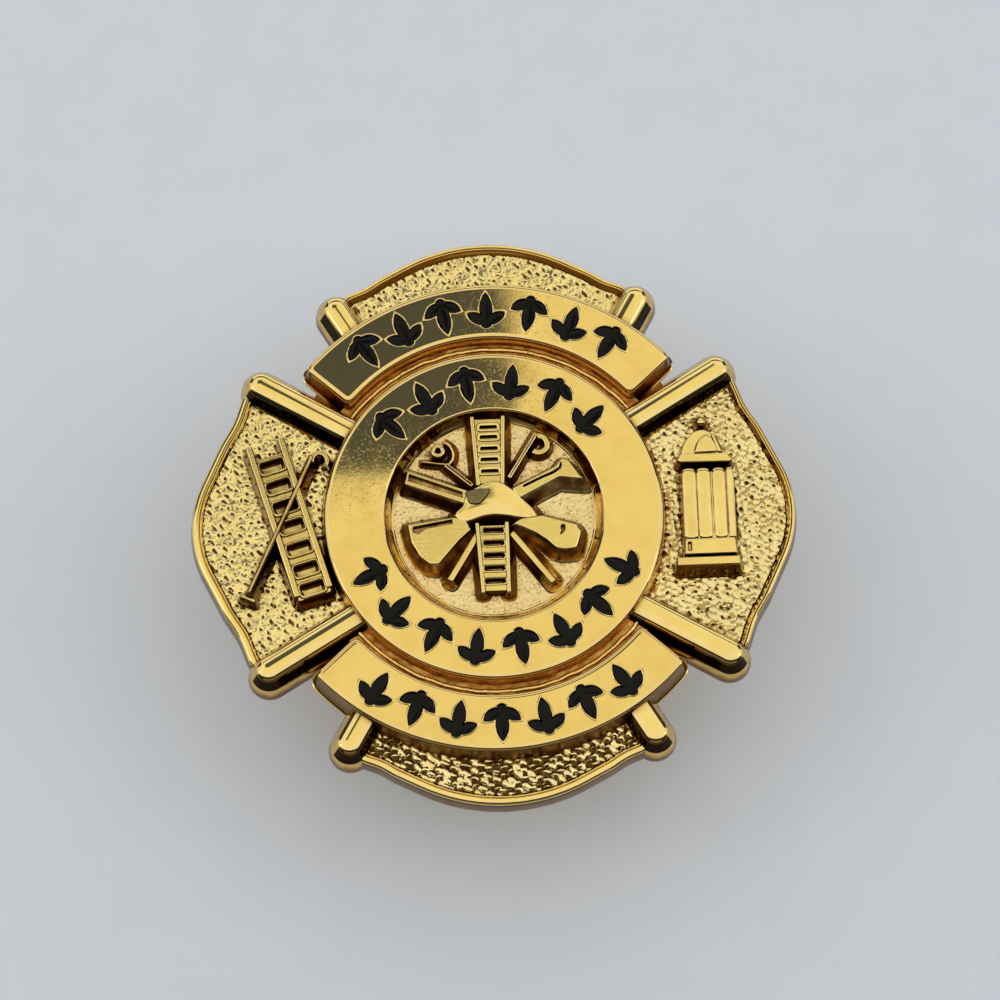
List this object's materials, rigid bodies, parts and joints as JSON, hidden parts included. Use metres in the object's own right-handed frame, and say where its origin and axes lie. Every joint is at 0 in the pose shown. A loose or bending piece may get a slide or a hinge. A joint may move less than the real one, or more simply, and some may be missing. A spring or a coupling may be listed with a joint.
{
  "type": "lapel pin",
  "caption": "Fire-service cross lapel pin: struck gold-plated badge with black enamel leaf ornament on its ring and banners, post and round clutch behind.",
  "frame": {"origin": "centre of the box at its lowest level, which is the flat back face of the clutch that the pin stands on", "axes": "+X to the arm with the hydrant, +Y to the upper arm, +Z out of the decorated face"},
  "size_m": [0.0254, 0.0246, 0.0092],
  "materials": {
    "gold_plate": "bright gold-plated, struck relief",
    "black_enamel": "glossy black enamel fill",
    "clutch_brass": "plain bright brass"
  },
  "bodies": {
    "root": {"badge": "gold_plate", "clutch": "clutch_brass", "upper_enamel_1": "black_enamel", "upper_enamel_2": "black_enamel", "upper_enamel_3": "black_enamel", "upper_enamel_4": "black_enamel", "upper_enamel_5": "black_enamel", "upper_enamel_6": "black_enamel", "upper_enamel_7": "black_enamel", "ring_enamel_1": "black_enamel", "ring_enamel_2": "black_enamel", "ring_enamel_3": "black_enamel", "ring_enamel_4": "black_enamel", "ring_enamel_5": "black_enamel", "ring_enamel_6": "black_enamel", "ring_enamel_7": "black_enamel", "ring_enamel_8": "black_enamel", "ring_enamel_9": "black_enamel", "ring_enamel_10": "black_enamel", "ring_enamel_11": "black_enamel", "ring_enamel_12": "black_enamel", "ring_enamel_13": "black_enamel", "ring_enamel_14": "black_enamel", "lower_enamel_1": "black_enamel", "lower_enamel_2": "black_enamel", "lower_enamel_3": "black_enamel", "lower_enamel_4": "black_enamel", "lower_enamel_5": "black_enamel", "lower_enamel_6": "black_enamel", "lower_enamel_7": "black_enamel"}
  },
  "joints": []
}
